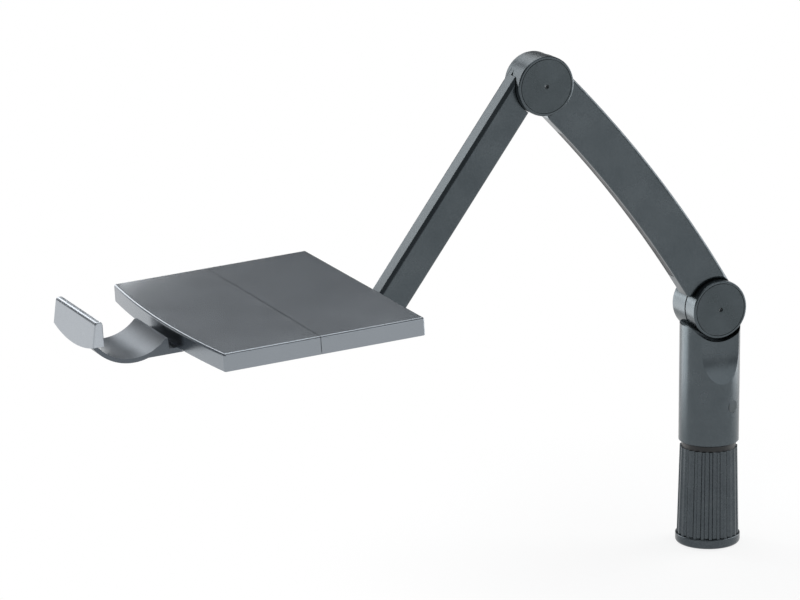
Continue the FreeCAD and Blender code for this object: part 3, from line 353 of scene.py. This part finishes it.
FLOOR_HALF = 20.0
FLOOR_GAP = 0.4 * MM
SHADE_KEPT = 0.16
SHADE_FULL_RADIUS = 0.1
SHADE_GONE_RADIUS = 0.36


def white_paper():
    """White paper: camera and reflections see it as white, and near the base it keeps some shading."""
    material, tree = empty_material("white_paper")
    path = add(tree, "ShaderNodeLightPath")
    direct = add(tree, "ShaderNodeMath", operation="MAXIMUM",
                 links={0: path.outputs["Is Camera Ray"], 1: path.outputs["Is Glossy Ray"]})
    seen = add(tree, "ShaderNodeMath", operation="MAXIMUM",
               links={0: direct.outputs[0], 1: path.outputs["Is Transmission Ray"]})
    place = add(tree, "ShaderNodeTexCoord").outputs["Object"]
    reach = add(tree, "ShaderNodeVectorMath", operation="LENGTH", links={0: place})
    whiteness = add(tree, "ShaderNodeMapRange",
                    {"From Min": SHADE_FULL_RADIUS, "From Max": SHADE_GONE_RADIUS,
                     "To Min": 1 - SHADE_KEPT, "To Max": 1.0},
                    {"Value": reach.outputs["Value"]}, interpolation_type="SMOOTHSTEP")
    share = add(tree, "ShaderNodeMath", operation="MULTIPLY",
                links={0: seen.outputs[0], 1: whiteness.outputs["Result"]})
    matt = add(tree, "ShaderNodeBsdfDiffuse", {"Color": linear("#f4f4f4")})
    glow = add(tree, "ShaderNodeEmission", {"Color": linear("#ffffff"), "Strength": 1.0})
    mixed = add(tree, "ShaderNodeMixShader",
                links={0: share.outputs[0], 1: matt.outputs[0], 2: glow.outputs[0]})
    add(tree, "ShaderNodeOutputMaterial", links={"Surface": mixed.outputs[0]})
    return material


def paper_floor():
    """The floor, just below the base so that the two don't share a plane."""
    shape = bmesh.new()
    bmesh.ops.create_grid(shape, x_segments=1, y_segments=1, size=FLOOR_HALF,
                          matrix=Matrix.Translation((0, 0, -FLOOR_GAP)))
    mesh = bpy.data.meshes.new("floor")
    shape.to_mesh(mesh)
    shape.free()
    mesh.materials.append(white_paper())
    floor = bpy.data.objects.new("floor", mesh)
    bpy.context.scene.collection.objects.link(floor)


paper_floor()


def soft_box(name, place, target, width, height, radiance):
    """A soft box that faces a target, with its brightness as the eye would meet it."""
    lamp = bpy.data.lights.new(name, "AREA")
    lamp.shape = "RECTANGLE"
    lamp.size = width
    lamp.size_y = height
    lamp.energy = radiance * math.pi * width * height
    box = bpy.data.objects.new(name, lamp)
    box.location = place
    box.rotation_euler = (Vector(target) - Vector(place)).to_track_quat("-Z", "Y").to_euler()
    box.visible_camera = False
    bpy.context.scene.collection.objects.link(box)


MIDDLE = (-0.2, 0.0, 0.22)
soft_box("back_box", place=(-0.2, 0.75, 1.05), target=(-0.2, 0.0, 0.75),
         width=0.8, height=0.4, radiance=3.0)
soft_box("back_left_strip", place=(-0.51, 0.75, 0.5), target=(-0.4, 0.0, 0.42),
         width=0.26, height=0.56, radiance=2.4)
soft_box("low_back_strip", place=(-0.31, 0.34, 0.14), target=(0.0, 0.0, 0.14),
         width=0.34, height=0.28, radiance=2.4)
soft_box("right_strip", place=(0.42, 0.0, 0.3), target=(0.0, 0.0, 0.2),
         width=0.36, height=0.58, radiance=3.2)
soft_box("top_box", place=(-0.3, 0.1, 1.6), target=MIDDLE, width=1.2, height=0.8, radiance=1.8)
soft_box("front_fill", place=(0.57, -1.5, 0.85), target=MIDDLE, width=1.5, height=1.0, radiance=1.2)

world = bpy.data.worlds.new("studio")
world.use_nodes = True
world.node_tree.nodes.clear()
room = add(world.node_tree, "ShaderNodeBackground", {"Color": linear("#d0d4d8"), "Strength": 0.3})
add(world.node_tree, "ShaderNodeOutputWorld", links={"Surface": room.outputs[0]})
bpy.context.scene.world = world

PHOTO_WIDTH = 800
SENSOR_WIDTH = 36.0
FOCAL_PIXELS = 4624.0
FAR_CLIP = 100.0
VIEW_AZIMUTH = math.radians(-25.4)
VIEW_ELEVATION = math.radians(15.72)
VIEW_DISTANCE = 3.729
VIEW_CENTRE = Vector((-0.2, 0.0, 0.17))
AIM_LEFT = 0.0728
AIM_UP = 0.0577


def camera():
    """The camera stands where the photograph was taken, and turns to its middle without rolling."""
    back = Vector((
        math.sin(VIEW_AZIMUTH) * math.cos(VIEW_ELEVATION),
        -math.cos(VIEW_AZIMUTH) * math.cos(VIEW_ELEVATION),
        math.sin(VIEW_ELEVATION),
    ))
    right = Vector((math.cos(VIEW_AZIMUTH), math.sin(VIEW_AZIMUTH), 0))
    up = back.cross(right)
    eye = VIEW_CENTRE + back * VIEW_DISTANCE
    aim = VIEW_CENTRE - right * AIM_LEFT + up * AIM_UP
    level = Matrix((right, up, back)).transposed().to_quaternion()
    turn = (-back).rotation_difference(aim - eye)
    lens = bpy.data.cameras.new("camera")
    lens.sensor_width = SENSOR_WIDTH
    lens.lens = SENSOR_WIDTH * FOCAL_PIXELS / PHOTO_WIDTH
    lens.clip_end = FAR_CLIP
    piece = bpy.data.objects.new("camera", lens)
    piece.rotation_mode = "QUATERNION"
    piece.location = eye
    piece.rotation_quaternion = turn @ level
    bpy.context.scene.collection.objects.link(piece)
    bpy.context.scene.camera = piece


camera()
bpy.context.scene.view_settings.view_transform = "Standard"
